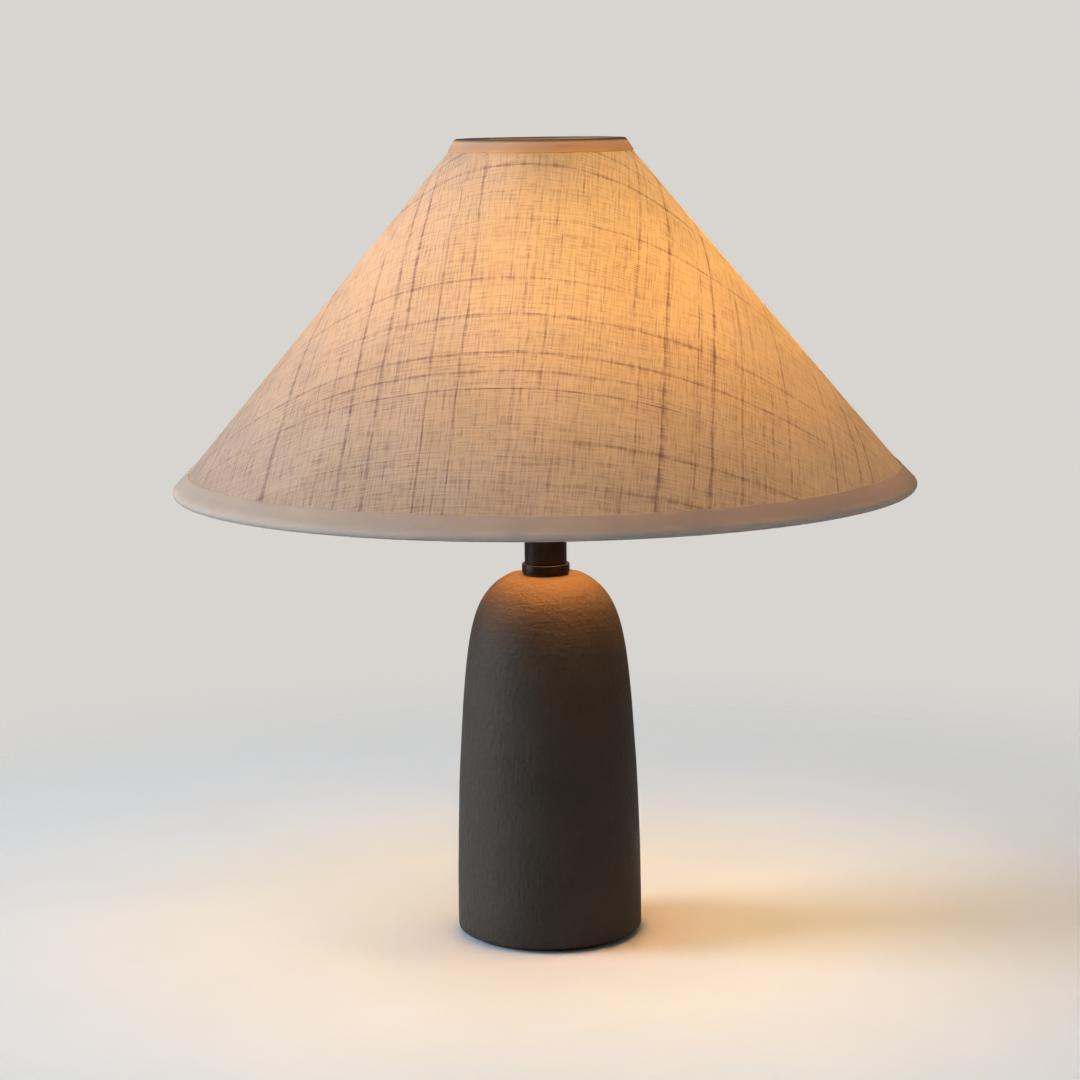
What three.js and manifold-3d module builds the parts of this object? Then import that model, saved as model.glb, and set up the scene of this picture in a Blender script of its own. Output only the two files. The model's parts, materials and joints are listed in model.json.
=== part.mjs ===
// A lit table lamp: a domed ceramic base, a dark neck, a threaded lampholder with a turn switch,
// a screw-in bulb and a wide conical fabric shade on a three-armed carrier.
// Millimetres, +Z up. The origin is the middle of the pad that the lamp stands on. +Y is the back.
import * as THREE from "three";
import { mergeVertices } from "three/addons/utils/BufferGeometryUtils.js";
import Module from "manifold-3d";

const wasm = await Module();
wasm.setup();

// ---------------------------------------------------------------- driving dimensions

const GAP = 0.3; // between pieces that touch

// Ceramic base. Its wall follows bodyRadius(z) below.
const PAD_RADIUS = 46;
const PAD_THICK = 2;
const BODY_RADIUS = 51.8;
const BODY_TAPER = 12.5;
const BODY_HEIGHT = 208.2;
const BODY_FOOT_Z = PAD_THICK + GAP;
const BODY_SEAT_Z = 203.9;
const BODY_EDGE_ROUND = 4;
const BODY_WALL = 6;
const RECESS_RADIUS = 44.9;
const LEDGE_RADIUS = 41.5;
const LEDGE_Z = 12.5;

// The pipe that clamps the lamp together, M10 x 1.
const PIPE_RADIUS = 5;
const PIPE_BORE = 3.6;
const PIPE_FOOT_Z = 2.7;
const PIPE_TOP_Z = 284;
const CLEAR_BORE = PIPE_RADIUS + GAP;

// Neck.
const COLLAR_RADIUS = 13.3;
const COLLAR_Z = [205.2, 210.3];
const NECK_RADIUS = 11.75;
const NECK_WALL = 1.2;
const NECK_TOP_Z = 272;
const NECK_CAP_THICK = 3;

// Lampholder with an outer thread for its two shade rings.
const HOLDER_Z = NECK_TOP_Z + GAP + NECK_CAP_THICK + GAP;
const HOLDER_HUB_RADIUS = 9;
const HOLDER_RADIUS = 19.5;
const HOLDER_WALL = 2.2;
const HOLDER_CAP_TOP = 301;
const SKIRT_RADIUS = 19.3;
const SKIRT_TOP = 333;
const SKIRT_MOUTH = 15.4;
const RING_RADIUS = 24;
const RING_HEIGHT = 6;
const RING_LUGS = 16;
const LOWER_RING_Z = 303.6;
const FITTER_THICK = 1.5;
const FITTER_RADII = [20.6, 29];

// Edison screw shared by the lampholder and the bulb, 7 turns to the inch.
const THREAD_PITCH = 25.4 / 7;
const THREAD_DEPTH = 0.5;
const CAP_THREAD_RADIUS = 12.55;
const SHELL_THREAD_RADIUS = 13.1;
const THREAD_ROWS = 5; // rows of vertices in one pitch
const SHELL_Z = [HOLDER_CAP_TOP + GAP, 322];

// Turn switch, with its axis along +X.
const SWITCH_Z = 292;
const SHAFT_RADIUS = 1.9;
const KNOB_RADIUS = 5.6;
const KNOB_X = [24.6, 36.6];
const KNOB_RIBS = 12;

// Bulb, standing on its contact.
const BULB_Z = 304.6;
const BULB_RADIUS = 30;
const BULB_LENGTH = 105;

// Cord gland in the back of the base.
const GLAND_Z = 28;
const GLAND_BORE = 3.2;
const GLAND_STEM = 4.7;

// Shade. A place on it is a distance up the slope from the foot and a distance out from the fabric's face.
const SHADE_FOOT_RADIUS = 204.8;
const SHADE_FOOT_Z = 254.4;
const SHADE_SLOPE = THREE.MathUtils.degToRad(49.9);
const SHADE_SLANT = 248.8;
const SHEET_THICK = 0.5;
const WIRE_RADIUS = 1.4;
const WIRE_INSET = 2.2; // from the end of the slope to the middle of a wire ring
const SHEET_INSET = 4.2; // from the end of the slope to the edge of the sheets
const FOOT_TAPE_LEGS = [13.5, 9]; // outside and inside
const TOP_TAPE_LEGS = [10, 7.5];
const ARM_RADIUS = 1.3;
const ARM_COUNT = 3;

// Facets round a turned piece, by its size.
const ROUND = { small: 16, thread: 20, medium: 24, large: 32, body: 40, shade: 40 };

// ---------------------------------------------------------------- materials

function finish(color, roughness, metalness = 0) {
  return new THREE.MeshStandardMaterial({ color, roughness, metalness });
}

const ceramic = finish(0x37322e, 0.82);
const felt = finish(0x141312, 0.95);
const zinc = finish(0x9fa2a3, 0.4, 0.9);
const rubber = finish(0x161514, 0.8);
const bronze = finish(0x241a15, 0.38, 0.75);
const phenolic = finish(0x191716, 0.5);
const porcelain = finish(0xe6e1d6, 0.35);
const brass = finish(0xb08d4a, 0.35, 0.95);
const nickel = finish(0xb9b6b0, 0.3, 0.95);
const blackGlass = finish(0x1a1418, 0.15);
const whitePlastic = finish(0xe9e6e0, 0.5);
const opal = finish(0xf6ead2, 0.3);
const boardWhite = finish(0xe8e8e4, 0.55);
const boardGreen = finish(0x2e5a3c, 0.6);
const linen = finish(0xc2a98d, 0.92);
const lining = finish(0xefe8da, 0.6);
const tape = finish(0xb2aa9f, 0.9);
const whiteWire = finish(0xdedad2, 0.45, 0.2);

// ---------------------------------------------------------------- shaping

// A solid of revolution about +Z from an outline of [radius, height] points. An outline that starts
// and ends on the axis makes a plug, and any other closes on itself and makes a ring.
function turned(outline, facets) {
  const points = outline.map(([r, z]) => new THREE.Vector2(r, z));
  if (outline[0][0] > 0) points.push(points[0].clone());
  if (THREE.ShapeUtils.area(points) < 0) points.reverse();
  return new THREE.LatheGeometry(points, facets).rotateX(Math.PI / 2);
}

// The outline of a plain ring between two radii and two heights.
function band([inner, outer], [low, high]) {
  return [
    [inner, low],
    [outer, low],
    [outer, high],
    [inner, high],
  ];
}

// Points round an arc of a circle, from one angle to another, in radians.
function arc([r, z], radius, from, to, steps) {
  return Array.from({ length: steps + 1 }, (_, i) => {
    const a = from + ((to - from) * i) / steps;
    return [r + radius * Math.cos(a), z + radius * Math.sin(a)];
  });
}

// Heights from low to high, close enough together to hold the thread's shape.
function threadRows(low, high) {
  const steps = Math.round(((high - low) * THREAD_ROWS) / THREAD_PITCH);
  return Array.from({ length: steps + 1 }, (_, i) => low + ((high - low) * i) / steps);
}

// Pushes a turned wall in and out as a right-handed thread that is in step everywhere on the lamp.
function thread(geometry, wallRadius) {
  const at = geometry.getAttribute("position");
  for (let i = 0; i < at.count; i++) {
    const [x, y, z] = [at.getX(i), at.getY(i), at.getZ(i)];
    const r = Math.hypot(x, y);
    if (Math.abs(r - wallRadius) > 1e-3) continue;
    const phase = (2 * Math.PI * z) / THREAD_PITCH - Math.atan2(y, x);
    const grown = 1 + (THREAD_DEPTH * Math.cos(phase)) / r;
    at.setXY(i, x * grown, y * grown);
  }
  return geometry;
}

// Turns a solid that was made about +Z to lie along +X, and lifts it to a height.
function alongX(geometry, height) {
  return geometry.rotateY(Math.PI / 2).translate(0, 0, height);
}

// A round bar with flat ends that follows a curve.
function bar(points, radius, steps) {
  const section = new THREE.Shape().absarc(0, 0, radius, 0, 2 * Math.PI);
  const extrudePath = new THREE.CatmullRomCurve3(points.map((p) => new THREE.Vector3(...p)));
  return new THREE.ExtrudeGeometry(section, { extrudePath, steps, curveSegments: 4 });
}

// A straight-sided prism from an outline in X and Y.
function prism(outline, low, high) {
  const shape = new THREE.Shape(outline.map(([x, y]) => new THREE.Vector2(x, y)));
  const depth = high - low;
  return new THREE.ExtrudeGeometry(shape, { depth, bevelEnabled: false }).translate(0, 0, low);
}

// The outline of a regular polygon, or of a ribbed round where every other point is pulled in.
function polygon(sides, radius, rib = 0) {
  return Array.from({ length: sides }, (_, i) => {
    const a = (2 * Math.PI * i) / sides;
    const r = radius - (i % 2) * rib;
    return [r * Math.cos(a), r * Math.sin(a)];
  });
}

function solid(geometry) {
  const bare = geometry.clone();
  bare.deleteAttribute("normal");
  bare.deleteAttribute("uv");
  const merged = mergeVertices(bare, 1e-4);
  const mesh = new wasm.Mesh({
    numProp: 3,
    vertProperties: merged.getAttribute("position").array,
    triVerts: new Uint32Array(merged.index.array),
  });
  return new wasm.Manifold(mesh);
}

function geometryOf(manifold) {
  const mesh = manifold.getMesh();
  return new THREE.BufferGeometry()
    .setAttribute("position", new THREE.BufferAttribute(mesh.vertProperties, 3))
    .setIndex(new THREE.BufferAttribute(mesh.triVerts, 1));
}

// A geometry with others cut out of it.
function cut(geometry, ...tools) {
  return geometryOf(tools.reduce((left, tool) => left.subtract(solid(tool)), solid(geometry)));
}

// A round cutter along +X, or along +Y for the gland.
function drill(radius, from, to) {
  return turned([[0, from], [radius, from], [radius, to], [0, to]], ROUND.small);
}

// ---------------------------------------------------------------- base

// The wall leans in towards the top and ends in a dome.
function bodyRadius(z) {
  const h = z / BODY_HEIGHT;
  return (BODY_RADIUS - BODY_TAPER * h ** 2.25) * Math.sqrt(Math.max(0, 1 - h ** 15));
}

// Heights from low to high, closing up towards the dome.
function domeRows(low, high, steps) {
  return Array.from({ length: steps + 1 }, (_, i) => {
    return low + (high - low) * Math.sin((Math.PI / 2) * (i / steps));
  });
}

function baseBody() {
  const edge = [BODY_RADIUS - BODY_EDGE_ROUND, BODY_FOOT_Z + BODY_EDGE_ROUND];
  const wallInside = (z) => bodyRadius(z + BODY_WALL) - BODY_WALL;
  const outside = domeRows(BODY_FOOT_Z + 3 * BODY_EDGE_ROUND, BODY_SEAT_Z, 11).map((z) => [bodyRadius(z), z]);
  const inside = domeRows(LEDGE_Z + 8, BODY_SEAT_Z - BODY_WALL, 5).map((z) => [wallInside(z), z]);
  const shell = turned(
    [
      ...arc(edge, BODY_EDGE_ROUND, -Math.PI / 2, 0, 3),
      ...outside,
      [CLEAR_BORE, BODY_SEAT_Z],
      [CLEAR_BORE, BODY_SEAT_Z - BODY_WALL],
      ...inside.reverse(),
      [LEDGE_RADIUS, LEDGE_Z + 3],
      [LEDGE_RADIUS, LEDGE_Z],
      [RECESS_RADIUS, LEDGE_Z],
      [RECESS_RADIUS, BODY_FOOT_Z],
    ],
    ROUND.body,
  );
  const glandHole = drill(GLAND_STEM + GAP, 0, 2 * BODY_RADIUS).rotateX(-Math.PI / 2).translate(0, 0, GLAND_Z);
  return cut(shell, glandHole);
}

function basePad() {
  return turned([[0, 0], [PAD_RADIUS, 0], [PAD_RADIUS, PAD_THICK], [0, PAD_THICK]], ROUND.body);
}

// The clamped stack under the ledge, from the plate down to the nut.
const PLATE_Z = [LEDGE_Z - GAP - 3, LEDGE_Z - GAP];
const WASHER_Z = [PLATE_Z[0] - GAP - 1.5, PLATE_Z[0] - GAP];
const LOCK_Z = [WASHER_Z[0] - GAP - 0.8, WASHER_Z[0] - GAP];
const NUT_Z = [PIPE_FOOT_Z, LOCK_Z[0] - GAP];

function nut([low, high], acrossFlats, bore) {
  const hexagon = prism(polygon(6, acrossFlats / Math.sqrt(3)), low, high);
  return cut(hexagon, drill(bore, low - 1, high + 1));
}

function lockWasher() {
  const teeth = prism(polygon(24, 8.6, 0.9), ...LOCK_Z);
  return cut(teeth, drill(CLEAR_BORE, LOCK_Z[0] - 1, LOCK_Z[1] + 1));
}

// A rubber bush: a lip inside the wall, a stem through it and a domed flange outside.
function cordGland() {
  const inside = BODY_RADIUS - BODY_WALL - 2.6;
  const outside = BODY_RADIUS + GAP / 2;
  const outline = [
    [GLAND_BORE, inside],
    [GLAND_STEM + 1.1, inside],
    [GLAND_STEM + 1.1, inside + 1.4],
    [GLAND_STEM, inside + 1.4],
    [GLAND_STEM, outside],
    [GLAND_STEM + 2.5, outside],
    [GLAND_STEM + 2.3, outside + 1.4],
    [GLAND_STEM + 0.4, outside + 3.4],
    [GLAND_BORE, outside + 3.4],
  ];
  return turned(outline, ROUND.small).rotateX(-Math.PI / 2).translate(0, 0, GLAND_Z);
}

// ---------------------------------------------------------------- neck

function neckCollar() {
  const [low, high] = COLLAR_Z;
  const outline = [
    [CLEAR_BORE, low],
    [COLLAR_RADIUS - 0.3, low],
    [COLLAR_RADIUS, low + 0.3],
    [COLLAR_RADIUS, high - 0.4],
    [COLLAR_RADIUS - 0.4, high],
    [CLEAR_BORE, high],
  ];
  return turned(outline, ROUND.large);
}

function neckTube() {
  return turned(band([NECK_RADIUS - NECK_WALL, NECK_RADIUS], [COLLAR_Z[1] + GAP, NECK_TOP_Z]), ROUND.large);
}

function neckCap() {
  const low = NECK_TOP_Z + GAP;
  return turned(band([CLEAR_BORE, NECK_RADIUS + 0.8], [low, low + NECK_CAP_THICK]), ROUND.large);
}

// ---------------------------------------------------------------- lampholder

// A cup that widens from its hub to its wall, with holes for the switch and the locking screw.
function holderCap() {
  const shoulder = HOLDER_Z + 8;
  const inner = HOLDER_RADIUS - HOLDER_WALL;
  const cup = turned(
    [
      [CLEAR_BORE, HOLDER_Z],
      [HOLDER_HUB_RADIUS, HOLDER_Z],
      [HOLDER_HUB_RADIUS, shoulder - 1],
      [HOLDER_RADIUS - 4, shoulder + 1.2],
      [HOLDER_RADIUS, shoulder + 5],
      [HOLDER_RADIUS, HOLDER_CAP_TOP],
      [inner, HOLDER_CAP_TOP],
      [inner, shoulder + 5.6],
      [inner - 4, shoulder + 2.6],
      [CLEAR_BORE, shoulder + 2.6],
    ],
    ROUND.medium,
  );
  const switchHole = alongX(drill(3.9, 10, 30), SWITCH_Z);
  const screwHole = alongX(drill(2.3, 3, 12), HOLDER_Z + 4).rotateZ(-Math.PI / 2);
  return cut(cup, switchHole, screwHole);
}

function holderGrubScrew() {
  return alongX(drill(2, CLEAR_BORE, HOLDER_HUB_RADIUS + 0.8), HOLDER_Z + 4).rotateZ(-Math.PI / 2);
}

// The insulating disc that carries the contacts.
function holderCore() {
  return turned([[0, 297.2], [16.9, 297.2], [16.9, 301], [0, 301]], ROUND.medium);
}

function holderSkirt() {
  const low = HOLDER_CAP_TOP + GAP;
  const outline = [
    [SKIRT_RADIUS - 2.2, low],
    [SKIRT_RADIUS, low],
    [SKIRT_RADIUS, SKIRT_TOP - 0.8],
    [SKIRT_RADIUS - 0.8, SKIRT_TOP],
    [SKIRT_MOUTH, SKIRT_TOP],
    [SKIRT_MOUTH, SKIRT_TOP - 3],
    [SKIRT_RADIUS - 2.2, SKIRT_TOP - 6],
  ];
  return turned(outline, ROUND.large);
}

function screwShell() {
  const [low, high] = SHELL_Z;
  const wall = threadRows(low, high).map((z) => [SHELL_THREAD_RADIUS, z]);
  const outline = [...wall.reverse(), [14.4, low], [14.4, high]];
  return thread(turned(outline, ROUND.thread), SHELL_THREAD_RADIUS);
}

// A brass tongue that rises from the core to the middle of the socket.
function centreContact() {
  const low = HOLDER_CAP_TOP + GAP;
  const side = [
    [-9, low],
    [-3, low],
    [0, BULB_Z - GAP - 0.5],
    [4, BULB_Z - GAP - 0.5],
    [4, BULB_Z - GAP],
    [-0.3, BULB_Z - GAP],
    [-3.3, low + 0.5],
    [-9, low + 0.5],
  ];
  return prism(side, -3, 3).rotateX(Math.PI / 2);
}

// A threaded ring with lugs for the fingers, whose bore runs on the skirt.
function shadeRing(low) {
  const grip = prism(polygon(2 * RING_LUGS, RING_RADIUS, 0.7), low, low + RING_HEIGHT);
  return cut(grip, turned(band([0, SKIRT_RADIUS + GAP], [low - 1, low + RING_HEIGHT + 1]), ROUND.large));
}

// ---------------------------------------------------------------- switch

function switchModule() {
  return new THREE.BoxGeometry(23, 17, 8).translate(0, 0, SWITCH_Z);
}

// A screw with a slotted head, on the module's side. side is 1 for the back and -1 for the front.
function terminalScrew(side) {
  const head = turned([[0, 8.8], [3, 8.8], [3, 10.5], [2.4, 11], [0, 11]], ROUND.small);
  const slot = new THREE.BoxGeometry(8, 0.9, 2).translate(0, 0, 11.4);
  return cut(head, slot).rotateX(-side * (Math.PI / 2)).translate(side * 5, 0, SWITCH_Z);
}

function switchBushing() {
  const outline = [
    [SHAFT_RADIUS + GAP, 12.6],
    [5.2, 12.6],
    [5.2, 14.2],
    [3.5, 14.2],
    [3.5, 24],
    [SHAFT_RADIUS + GAP, 24],
  ];
  return alongX(turned(outline, ROUND.small), SWITCH_Z);
}

function switchBushingNut() {
  return alongX(nut([20.1, 22.6], 10, 3.5 + GAP), SWITCH_Z);
}

function switchShaft() {
  return alongX(drill(SHAFT_RADIUS, 12, 31), SWITCH_Z);
}

// A ribbed grip with a blind hole for the shaft.
function switchKnob() {
  const [low, high] = KNOB_X;
  const grip = prism(polygon(2 * KNOB_RIBS, KNOB_RADIUS, 0.5), low, high);
  return alongX(cut(grip, drill(SHAFT_RADIUS + GAP, low - 1, 31.3)), SWITCH_Z);
}

// ---------------------------------------------------------------- bulb

function bulbContact() {
  return turned([[0, BULB_Z], [3.6, BULB_Z + 0.3], [4.5, BULB_Z + 1.6], [0, BULB_Z + 1.6]], ROUND.small);
}

function bulbInsulator() {
  const low = BULB_Z + 1.9;
  return turned([[0, low], [5.6, low], [11.3, low + 3.5], [0, low + 3.5]], ROUND.medium);
}

const CAP_Z = [BULB_Z + 5.7, BULB_Z + 23.5];

// The threaded cap, with a plain collar above the thread.
function bulbCap() {
  const [low, high] = CAP_Z;
  const threaded = threadRows(low, low + 12.7).map((z) => [CAP_THREAD_RADIUS, z]);
  const outline = [
    [11.5, high],
    [11.5, low],
    ...threaded,
    [CAP_THREAD_RADIUS + 0.4, low + 13.6],
    [CAP_THREAD_RADIUS + 0.4, high],
  ];
  return thread(turned(outline, ROUND.thread), CAP_THREAD_RADIUS);
}

const HOUSING_Z = [CAP_Z[1] + GAP, CAP_Z[1] + GAP + 35];

function bulbHousing() {
  const [low, high] = HOUSING_Z;
  const outline = [
    [11.6, low],
    [13.4, low],
    [14.4, low + 6],
    [19.5, low + 21],
    [25.8, high],
    [24.2, high],
    [18, low + 21.6],
    [12.8, low + 7],
    [11.6, low + 3],
  ];
  return turned(outline, ROUND.medium);
}

function ledBoard() {
  const low = HOUSING_Z[1] + GAP;
  return turned([[0, low], [23.9, low], [23.9, low + 1.4], [0, low + 1.4]], ROUND.medium);
}

function ledDriver() {
  return new THREE.BoxGeometry(15, 10, 26).translate(0, 0, CAP_Z[0] + 18);
}

// An opal globe with an open foot, which flows out of the housing's flare and closes over the top.
function bulbDiffuser() {
  const foot = HOUSING_Z[1] + GAP;
  const middle = BULB_Z + BULB_LENGTH - BULB_RADIUS;
  const skin = 1.2;
  const start = -Math.asin((middle - foot) / BULB_RADIUS);
  const globe = (radius) => arc([0, middle], radius, start, Math.PI / 2, 7).map(([r, z]) => [Math.max(r, 0), z]);
  const outer = globe(BULB_RADIUS);
  const inner = globe(BULB_RADIUS - skin);
  outer[outer.length - 1][0] = 0;
  inner[inner.length - 1][0] = 0;
  return turned([...inner.reverse(), ...outer], ROUND.medium);
}

// ---------------------------------------------------------------- shade

// [radius, height] of a place on the shade: up the slope from the foot, and out from the fabric's face.
function onShade(up, out) {
  return [
    SHADE_FOOT_RADIUS - up * Math.cos(SHADE_SLOPE) + out * Math.sin(SHADE_SLOPE),
    SHADE_FOOT_Z + up * Math.sin(SHADE_SLOPE) + out * Math.cos(SHADE_SLOPE),
  ];
}

const LINING_OUT = -SHEET_THICK - GAP;
const WIRE_OUT = -SHEET_THICK - GAP / 2;

function sheet(out) {
  const ends = [SHEET_INSET, SHADE_SLANT - SHEET_INSET];
  const outline = [
    onShade(ends[0], out - SHEET_THICK),
    onShade(ends[0], out),
    onShade(ends[1], out),
    onShade(ends[1], out - SHEET_THICK),
  ];
  return turned(outline, ROUND.shade);
}

function wireRing(up, facets) {
  return turned(arc(onShade(up, WIRE_OUT), WIRE_RADIUS, 0, (5 / 3) * Math.PI, 5), facets);
}

// A tape folded round a wire ring and over both faces of the sheets. end is 0 at the shade's foot and
// 1 at its top, and legs are how far the tape reaches outside and inside.
function foldedTape(end, [outside, inside], facets) {
  const along = (d) => (end ? SHADE_SLANT - d : d);
  const leg = SHEET_THICK + GAP / 2 + GAP; // from the wire's middle to the tape's inner face
  const bead = WIRE_RADIUS + GAP;
  const turns = 5;
  const lip = THREE.MathUtils.degToRad(40); // between the slope and the bead's open edges
  const wrap = (radius) =>
    Array.from({ length: turns + 1 }, (_, i) => {
      const a = lip + ((2 * Math.PI - 2 * lip) * i) / turns;
      return onShade(along(WIRE_INSET + radius * Math.cos(a)), WIRE_OUT + radius * Math.sin(a));
    });
  const outerSkin = [
    onShade(along(outside), WIRE_OUT + leg + SHEET_THICK),
    ...wrap(bead + SHEET_THICK),
    onShade(along(inside), WIRE_OUT - leg - SHEET_THICK),
  ];
  const innerSkin = [
    onShade(along(outside), WIRE_OUT + leg),
    onShade(along(SHEET_INSET), WIRE_OUT + leg),
    ...wrap(bead),
    onShade(along(SHEET_INSET), WIRE_OUT - leg),
    onShade(along(inside), WIRE_OUT - leg),
  ];
  return turned([...outerSkin, ...innerSkin.reverse()], facets);
}

const FITTER_Z = LOWER_RING_Z + RING_HEIGHT + GAP;

function fitterRing() {
  return turned(band(FITTER_RADII, [FITTER_Z, FITTER_Z + FITTER_THICK]), ROUND.large);
}

// A wire arm from the fitter ring up to the shade's top ring.
function spiderArm(index) {
  const [topRadius, topZ] = onShade(SHADE_SLANT - WIRE_INSET, WIRE_OUT);
  const foot = FITTER_Z + FITTER_THICK + GAP + ARM_RADIUS;
  const points = [
    [27.4, 0, foot],
    [29.6, 0, foot + 8],
    [topRadius - 6.6, 0, topZ - 24],
    [topRadius - 4.2, 0, topZ - 1],
  ];
  return bar(points, ARM_RADIUS, 9).rotateZ(Math.PI / 2 + (2 * Math.PI * index) / ARM_COUNT);
}

// ---------------------------------------------------------------- assembly

const lamp = new THREE.Group();

function add(name, geometry, material) {
  const mesh = new THREE.Mesh(geometry, material);
  mesh.name = name;
  lamp.add(mesh);
}

add("base_pad", basePad(), felt);
add("base_body", baseBody(), ceramic);
add("base_plate", turned(band([CLEAR_BORE, RECESS_RADIUS - 0.5], PLATE_Z), ROUND.body), zinc);
add("base_washer", turned(band([CLEAR_BORE, 15], WASHER_Z), ROUND.medium), zinc);
add("lock_washer", lockWasher(), zinc);
add("base_nut", nut(NUT_Z, 14, CLEAR_BORE), zinc);
add("stem_pipe", turned(band([PIPE_BORE, PIPE_RADIUS], [PIPE_FOOT_Z, PIPE_TOP_Z]), ROUND.small), zinc);
add("cord_gland", cordGland(), rubber);
add("seat_gasket", turned(band([CLEAR_BORE, 12.6], [BODY_SEAT_Z + GAP, COLLAR_Z[0] - GAP]), ROUND.medium), rubber);
add("neck_collar", neckCollar(), bronze);
add("neck_tube", neckTube(), bronze);
add("neck_cap", neckCap(), bronze);

add("holder_cap", holderCap(), phenolic);
add("holder_grub_screw", holderGrubScrew(), zinc);
add("holder_core", holderCore(), porcelain);
add("holder_skirt", holderSkirt(), phenolic);
add("screw_shell", screwShell(), nickel);
add("centre_contact", centreContact(), brass);
add("shade_ring_lower", shadeRing(LOWER_RING_Z), phenolic);
add("shade_ring_upper", shadeRing(FITTER_Z + FITTER_THICK + GAP), phenolic);

add("switch_module", switchModule(), phenolic);
add("terminal_screw_back", terminalScrew(1), brass);
add("terminal_screw_front", terminalScrew(-1), brass);
add("switch_bushing", switchBushing(), brass);
add("switch_bushing_nut", switchBushingNut(), brass);
add("switch_shaft", switchShaft(), brass);
add("switch_knob", switchKnob(), phenolic);

add("bulb_contact", bulbContact(), brass);
add("bulb_insulator", bulbInsulator(), blackGlass);
add("bulb_cap", bulbCap(), nickel);
add("bulb_housing", bulbHousing(), whitePlastic);
add("led_driver", ledDriver(), boardGreen);
add("led_board", ledBoard(), boardWhite);
add("bulb_diffuser", bulbDiffuser(), opal);

add("fitter_ring", fitterRing(), whiteWire);
for (let i = 0; i < ARM_COUNT; i++) add(`spider_arm_${i + 1}`, spiderArm(i), whiteWire);
add("top_wire", wireRing(SHADE_SLANT - WIRE_INSET, ROUND.large), whiteWire);
add("foot_wire", wireRing(WIRE_INSET, ROUND.shade), whiteWire);
add("shade_fabric", sheet(0), linen);
add("shade_lining", sheet(LINING_OUT), lining);
add("top_tape", foldedTape(1, TOP_TAPE_LEGS, ROUND.large), tape);
add("foot_tape", foldedTape(0, FOOT_TAPE_LEGS, ROUND.shade), tape);

export default lamp;
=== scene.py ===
"""The looks of a lit table lamp with a conical linen shade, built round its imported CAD. Metres, +Z up."""

import json
import math

import bpy
import numpy as np
from mathutils import Matrix, Vector, noise


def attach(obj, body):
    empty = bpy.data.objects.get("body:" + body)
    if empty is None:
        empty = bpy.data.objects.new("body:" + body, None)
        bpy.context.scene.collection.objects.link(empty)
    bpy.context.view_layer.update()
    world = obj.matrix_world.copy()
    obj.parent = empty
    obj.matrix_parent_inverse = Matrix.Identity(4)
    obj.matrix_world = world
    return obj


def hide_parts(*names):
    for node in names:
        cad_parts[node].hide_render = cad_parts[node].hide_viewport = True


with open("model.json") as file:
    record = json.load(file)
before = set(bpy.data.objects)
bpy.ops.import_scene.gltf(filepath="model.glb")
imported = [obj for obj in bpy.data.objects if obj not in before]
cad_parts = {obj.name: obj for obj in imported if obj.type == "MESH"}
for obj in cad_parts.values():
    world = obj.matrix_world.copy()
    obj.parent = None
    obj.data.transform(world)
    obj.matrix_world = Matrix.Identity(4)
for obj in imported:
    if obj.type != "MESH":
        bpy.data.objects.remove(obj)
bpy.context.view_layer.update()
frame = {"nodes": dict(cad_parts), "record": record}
MM = 0.001

# ---------------------------------------------------------------- camera


def aim_camera(place, pitch, yaw, roll, focal):
    """The camera at a place, pitched down, turned left and rolled by radians, with its focal length in mm."""
    side = Vector((math.cos(yaw), math.sin(yaw), 0))
    level = Vector((-math.sin(yaw), math.cos(yaw), 0))
    ahead = math.cos(pitch) * level - math.sin(pitch) * Vector((0, 0, 1))
    over = math.sin(pitch) * level + math.cos(pitch) * Vector((0, 0, 1))
    right = math.cos(roll) * side + math.sin(roll) * over
    up = math.cos(roll) * over - math.sin(roll) * side
    data = bpy.data.cameras.new("camera")
    data.sensor_width = 36
    data.lens = focal
    camera = bpy.data.objects.new("camera", data)
    axes = Matrix((right, up, -ahead)).transposed().to_4x4()
    camera.matrix_world = Matrix.Translation(place) @ axes
    bpy.context.scene.collection.objects.link(camera)
    bpy.context.scene.camera = camera


aim_camera(Vector((0, -1.5959, 0.4702)), pitch=0.1536, yaw=0.0019, roll=-0.0130, focal=96.70)

# ---------------------------------------------------------------- materials


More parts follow.
